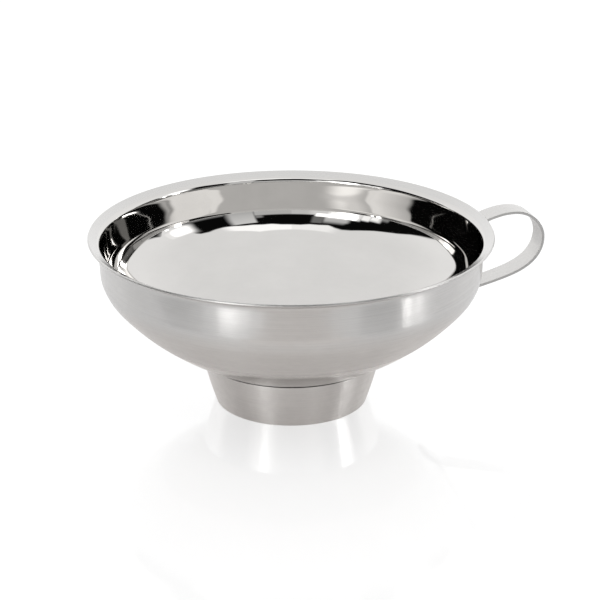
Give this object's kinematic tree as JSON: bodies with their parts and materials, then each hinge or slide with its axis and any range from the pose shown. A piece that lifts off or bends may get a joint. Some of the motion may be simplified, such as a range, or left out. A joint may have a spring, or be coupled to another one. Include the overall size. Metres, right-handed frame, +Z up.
{
  "type": "canning funnel",
  "caption": "Wide-mouth canning funnel: a drawn steel bowl with a flared lip, a tapered neck that sits in a jar's mouth, and a flat strap loop handle.",
  "frame": {"origin": "centre of the neck's foot, on the plane the funnel stands on", "axes": "+Z up along the funnel's axis, from the neck to the bowl's lip; +X towards the handle; +Y completes the right-handed frame"},
  "size_m": [0.1679, 0.145, 0.0652],
  "materials": {
    "bowl_steel": "mirror-polished inside, circumferentially brushed satin outside",
    "neck_steel": "circumferentially brushed satin",
    "strap_steel": "satin, lightly grained along its length",
    "weld_steel": "cleaned weld, slightly duller"
  },
  "bodies": {
    "root": {"bowl": "bowl_steel", "neck_sleeve": "neck_steel", "neck_seam_weld": "weld_steel", "handle_strap": "strap_steel", "handle_upper_spot_welds": "weld_steel", "handle_lower_spot_welds": "weld_steel"}
  },
  "joints": []
}
